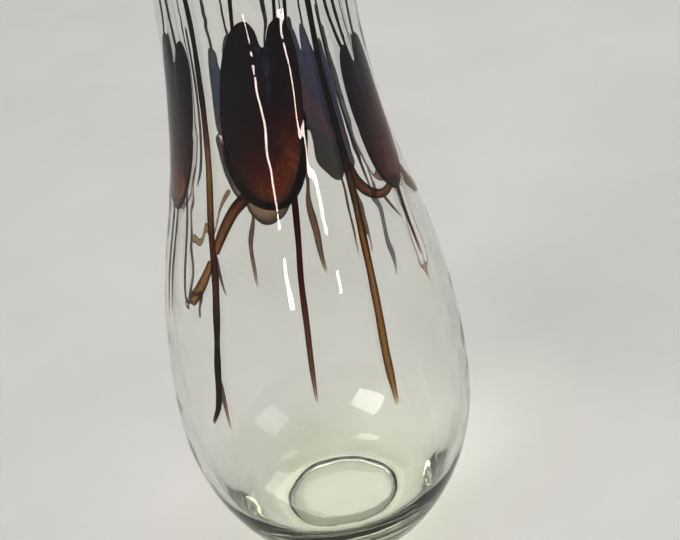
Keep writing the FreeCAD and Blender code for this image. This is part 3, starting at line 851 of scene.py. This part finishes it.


# ---------------------------------------------------------------- assembly

# The second list of each cane is painted shade: darker colours laid along the thread's edges.
DARK_CANE = cane(((190, BROWN), (250, BLACK), (360, BLACK)), ((190, BLACK), (360, BLACK)),
                 ((190, 0.6), (240, 0.95)))
LEFT_CANE = cane(
    ((108, PLUM), (125, BLACK), (150, PLUM), (166, BROWN), (200, RED_BROWN), (235, AMBER), (258, RED_BROWN),
     (276, BLACK)),
    ((108, BLACK), (160, BLACK), (200, MAROON), (255, MAROON), (275, BLACK)),
    ((108, 0.6), (125, 0.9), (155, 0.8), (175, 0.40), (250, 0.35), (276, 0.95)))
RIGHT_CANE = cane(
    ((108, AMBER), (150, AMBER), (215, AMBER), (226, RED_BROWN), (234, BLACK), (350, BLACK)),
    ((108, RED_BROWN), (200, MAROON), (228, BLACK), (350, BLACK)),
    ((108, 0.25), (200, 0.35), (232, 0.95)))
AMBER_CANE = cane(((100, CLEAR_BROWN), (180, RED_BROWN), (230, MAROON), (350, BLACK)),
                  ((100, BROWN), (180, MAROON), (350, BLACK)), ((100, 0.15), (200, 0.35), (260, 0.9)))
GREY_CANE = cane(((100, MAUVE), (200, SMOKE), (260, PLUM), (350, BLACK)),
                 ((100, SMOKE), (200, VIOLET), (350, BLACK)), ((100, 0.2), (250, 0.5), (300, 0.9)))
GARLAND_CANE = cane(((150, AMBER), (190, AMBER), (225, RED_BROWN)), ((150, RED_BROWN), (225, MAROON)),
                    ((150, 0.2), (225, 0.4)))
LOOP_CANE = cane(((140, BLACK), (222, BLACK), (240, PLUM)), ((140, BLACK), (240, BLACK)),
                 ((140, 0.85), (240, 0.8)))
THIN_LOOP_CANE = cane(((140, BROWN), (230, MAROON)), ((140, PLUM), (230, BLACK)), ((140, 0.35), (230, 0.6)))
FINE_CANE = cane(((150, SMOKE), (300, SMOKE)), ((150, BROWN), (300, VIOLET)), ((150, 0.2), (300, 0.4)))

MAIN_CANES = {
    "main_thread_front_left": LEFT_CANE,
    "main_thread_front_right": RIGHT_CANE,
    "main_thread_right": RIGHT_CANE,
    "main_thread_rear_right": GREY_CANE,
    "main_thread_rear": AMBER_CANE,
    "main_thread_rear_left": LEFT_CANE,
}

# A loop runs a little outside its petal's outline and lower. The front one is a thick dark cane.
LOOP_SPREAD, LOOP_DROP, LOOP_EVERY = 1.01, 0.008, 3
LOOP_DEPTH, LOOP_TAPERS, LOOP_SEED = 1.15, (16, 12), 40
FRONT_LOOP, OTHER_LOOP = (4.0, LOOP_CANE), (1.8, THIN_LOOP_CANE)

relief = Relief()
for number, name in enumerate(PETALS):
    piece = build_petal(name, number + 1)
    # The rear petals' slot is the one whose colours hold painted backlit sheen.
    slot = "lustre_petal_glass" if name.startswith("rear") else "amethyst_petal_glass"
    finish_piece(piece, name, PETAL_GLASS)
    relief.add_petal(name, PETAL_RISE)

    outline = outline_curve(PETAL_OUTLINE, OUTLINE_POINTS)
    per_point = OUTLINE_POINTS // len(PETAL_OUTLINE)
    hem = outline[LOOP_FIRST * per_point : LOOP_LAST * per_point + 1 : LOOP_EVERY]
    loop_path = np.column_stack(petal_place(name, hem[:, 0] * LOOP_SPREAD, hem[:, 1] - LOOP_DROP))
    loop_width, loop_cane = FRONT_LOOP if name == "front_petal" else OTHER_LOOP
    piece = build_thread(name + "_loop", loop_path, loop_width, LOOP_DEPTH, loop_cane, *LOOP_TAPERS,
                         number + LOOP_SEED)
    finish_piece(piece, name + "_loop", THREAD_GLASS)
    relief.add_path(loop_path, LOOP_REACH, LOOP_RISE)

# Each family: its threads, width, depth of its middle in the wall, cane (none where each thread has its
# own), tapers of both ends, slot, and the rise of the wall over it.
FIRST_THREAD_SEED, RIDGE_MARGIN = 60, 1.4
FAMILIES = (
    (MAIN_THREADS, 3.8, 1.15, None, 1, 16, "main_thread_glass", 0.22),
    (LOBE_THREADS, 2.3, 1.10, DARK_CANE, 1, 1, "dark_thread_glass", 0.14),
    (TAILS, 2.7, 1.10, AMBER_CANE, 1, 22, "amber_thread_glass", 0.15),
    (GARLANDS, 4.8, 1.20, GARLAND_CANE, 1, 1, "amber_garland_glass", 0.24),
    (FINE_THREADS, 1.6, 1.05, FINE_CANE, 3, 10, "fine_thread_glass", 0.08),
)
seed = FIRST_THREAD_SEED
for threads, width, depth, colours, first, last, slot, rise in FAMILIES:
    for name, path in threads.items():
        seed += 1
        piece = build_thread(name, path, width, depth, colours or MAIN_CANES[name], first, last, seed)
        finish_piece(piece, name, THREAD_GLASS)
        relief.add_path(path, RIDGE_MARGIN + width / 2, rise)

finish_piece(build_bubble(relief), "blown_bubble", CLEAR)
finish_piece(build_disc(), "pontil_disc", GROUND)

# ---------------------------------------------------------------- floor, light and camera

HALF_FLOOR = 15.0
floor_mesh = bpy.data.meshes.new("studio_floor")
floor_corners = [(x * HALF_FLOOR, y * HALF_FLOOR, 0) for x, y in ((-1, -1), (1, -1), (1, 1), (-1, 1))]
floor_mesh.from_pydata(floor_corners, [], [(0, 1, 2, 3)])
studio_floor = bpy.data.objects.new("studio_floor", floor_mesh)
scene.collection.objects.link(studio_floor)
floor_mesh.materials.append(pale_floor())


def area_light(name, place, aim, size, power, colour):
    """A rectangular lamp at a place, turned to aim at another."""
    lamp = bpy.data.lights.new(name, "AREA")
    lamp.shape = "RECTANGLE"
    lamp.size, lamp.size_y = size
    lamp.energy = power
    lamp.color = colour
    made = bpy.data.objects.new(name, lamp)
    scene.collection.objects.link(made)
    made.location = place
    made.rotation_mode = "QUATERNION"
    made.rotation_quaternion = (Vector(aim) - Vector(place)).to_track_quat("-Z", "Y")
    return made


# The soft lamps aim at the vase. Each: its name, place, size, power and colour.
VASE_MIDDLE = (0, 0, 0.16)
SOFT_LAMPS = (
    ("soft_key", (-1.1, -0.9, 1.5), (0.9, 0.9), 14.5, (1.0, 0.98, 0.95)),
    ("soft_fill", (1.4, -0.5, 1.1), (0.8, 1.0), 5.2, (0.95, 0.97, 1.0)),
    ("soft_back", (0.3, 1.6, 1.4), (1.4, 0.8), 9.5, (1.0, 0.98, 0.93)),
)
for name, place, size, power, colour in SOFT_LAMPS:
    area_light(name, place, VASE_MIDDLE, size, power, colour)

# Low upright strips in front of the vase draw the long wavering highlights down its neck and shoulder.
# Each: its name, bearing, middle's height, width, height and power.
STRIP_DISTANCE, STRIP_COLOUR = 0.55, (1.0, 0.80, 0.74)
STRIPS = (
    ("strip_right", 27.0, 0.147, 0.024, 0.056, 0.075),
    ("strip_left", -11.5, 0.152, 0.020, 0.054, 0.058),
)
for name, bearing, level, width, tall, power in STRIPS:
    turned = math.radians(bearing)
    place = (STRIP_DISTANCE * math.sin(turned), -STRIP_DISTANCE * math.cos(turned), level)
    strip = area_light(name, place, (0, 0, level), (width, tall), power, STRIP_COLOUR)
    strip.visible_camera = False
    strip.visible_transmission = False

world = bpy.data.worlds.new("studio_air")
scene.world = world
world.use_nodes = True
air = world.node_tree
air.nodes.clear()
sky_place = air.nodes.new("ShaderNodeTexCoord")
split = air.nodes.new("ShaderNodeSeparateXYZ")
sky = air.nodes.new("ShaderNodeValToRGB")
sky.color_ramp.elements[0].position = 0.0
sky.color_ramp.elements[0].color = (0.50, 0.495, 0.485, 1)
sky.color_ramp.elements[1].position = 0.55
sky.color_ramp.elements[1].color = (0.86, 0.89, 0.92, 1)
background = air.nodes.new("ShaderNodeBackground")
background.inputs["Strength"].default_value = 0.36
sky_output = air.nodes.new("ShaderNodeOutputWorld")
air.links.new(sky_place.outputs["Generated"], split.inputs[0])
air.links.new(split.outputs["Z"], sky.inputs[0])
air.links.new(sky.outputs[0], background.inputs["Color"])
air.links.new(background.outputs[0], sky_output.inputs["Surface"])

# The camera looks down at the vase from the front, a little rolled.
CAMERA_PLACE = Vector((0.0178, -0.579, 0.517))
CAMERA_LENS, CAMERA_SENSOR = 74.1, 36.0
PITCH, ROLL = math.radians(32.39), math.radians(-9.26)
forward = Vector((0, math.cos(PITCH), -math.sin(PITCH)))
level_right = Vector((1, 0, 0))
level_up = Vector((0, math.sin(PITCH), math.cos(PITCH)))
right = math.cos(ROLL) * level_right + math.sin(ROLL) * level_up
up = -math.sin(ROLL) * level_right + math.cos(ROLL) * level_up
camera_data = bpy.data.cameras.new("camera")
camera_data.sensor_width = CAMERA_SENSOR
camera_data.lens = CAMERA_LENS
camera_data.clip_start = 0.01
camera = bpy.data.objects.new("camera", camera_data)
scene.collection.objects.link(camera)
camera.matrix_world = Matrix.Translation(CAMERA_PLACE) @ Matrix((right, up, -forward)).transposed().to_4x4()
scene.camera = camera
scene.view_settings.view_transform = "Standard"
scene.view_settings.look = "High Contrast"
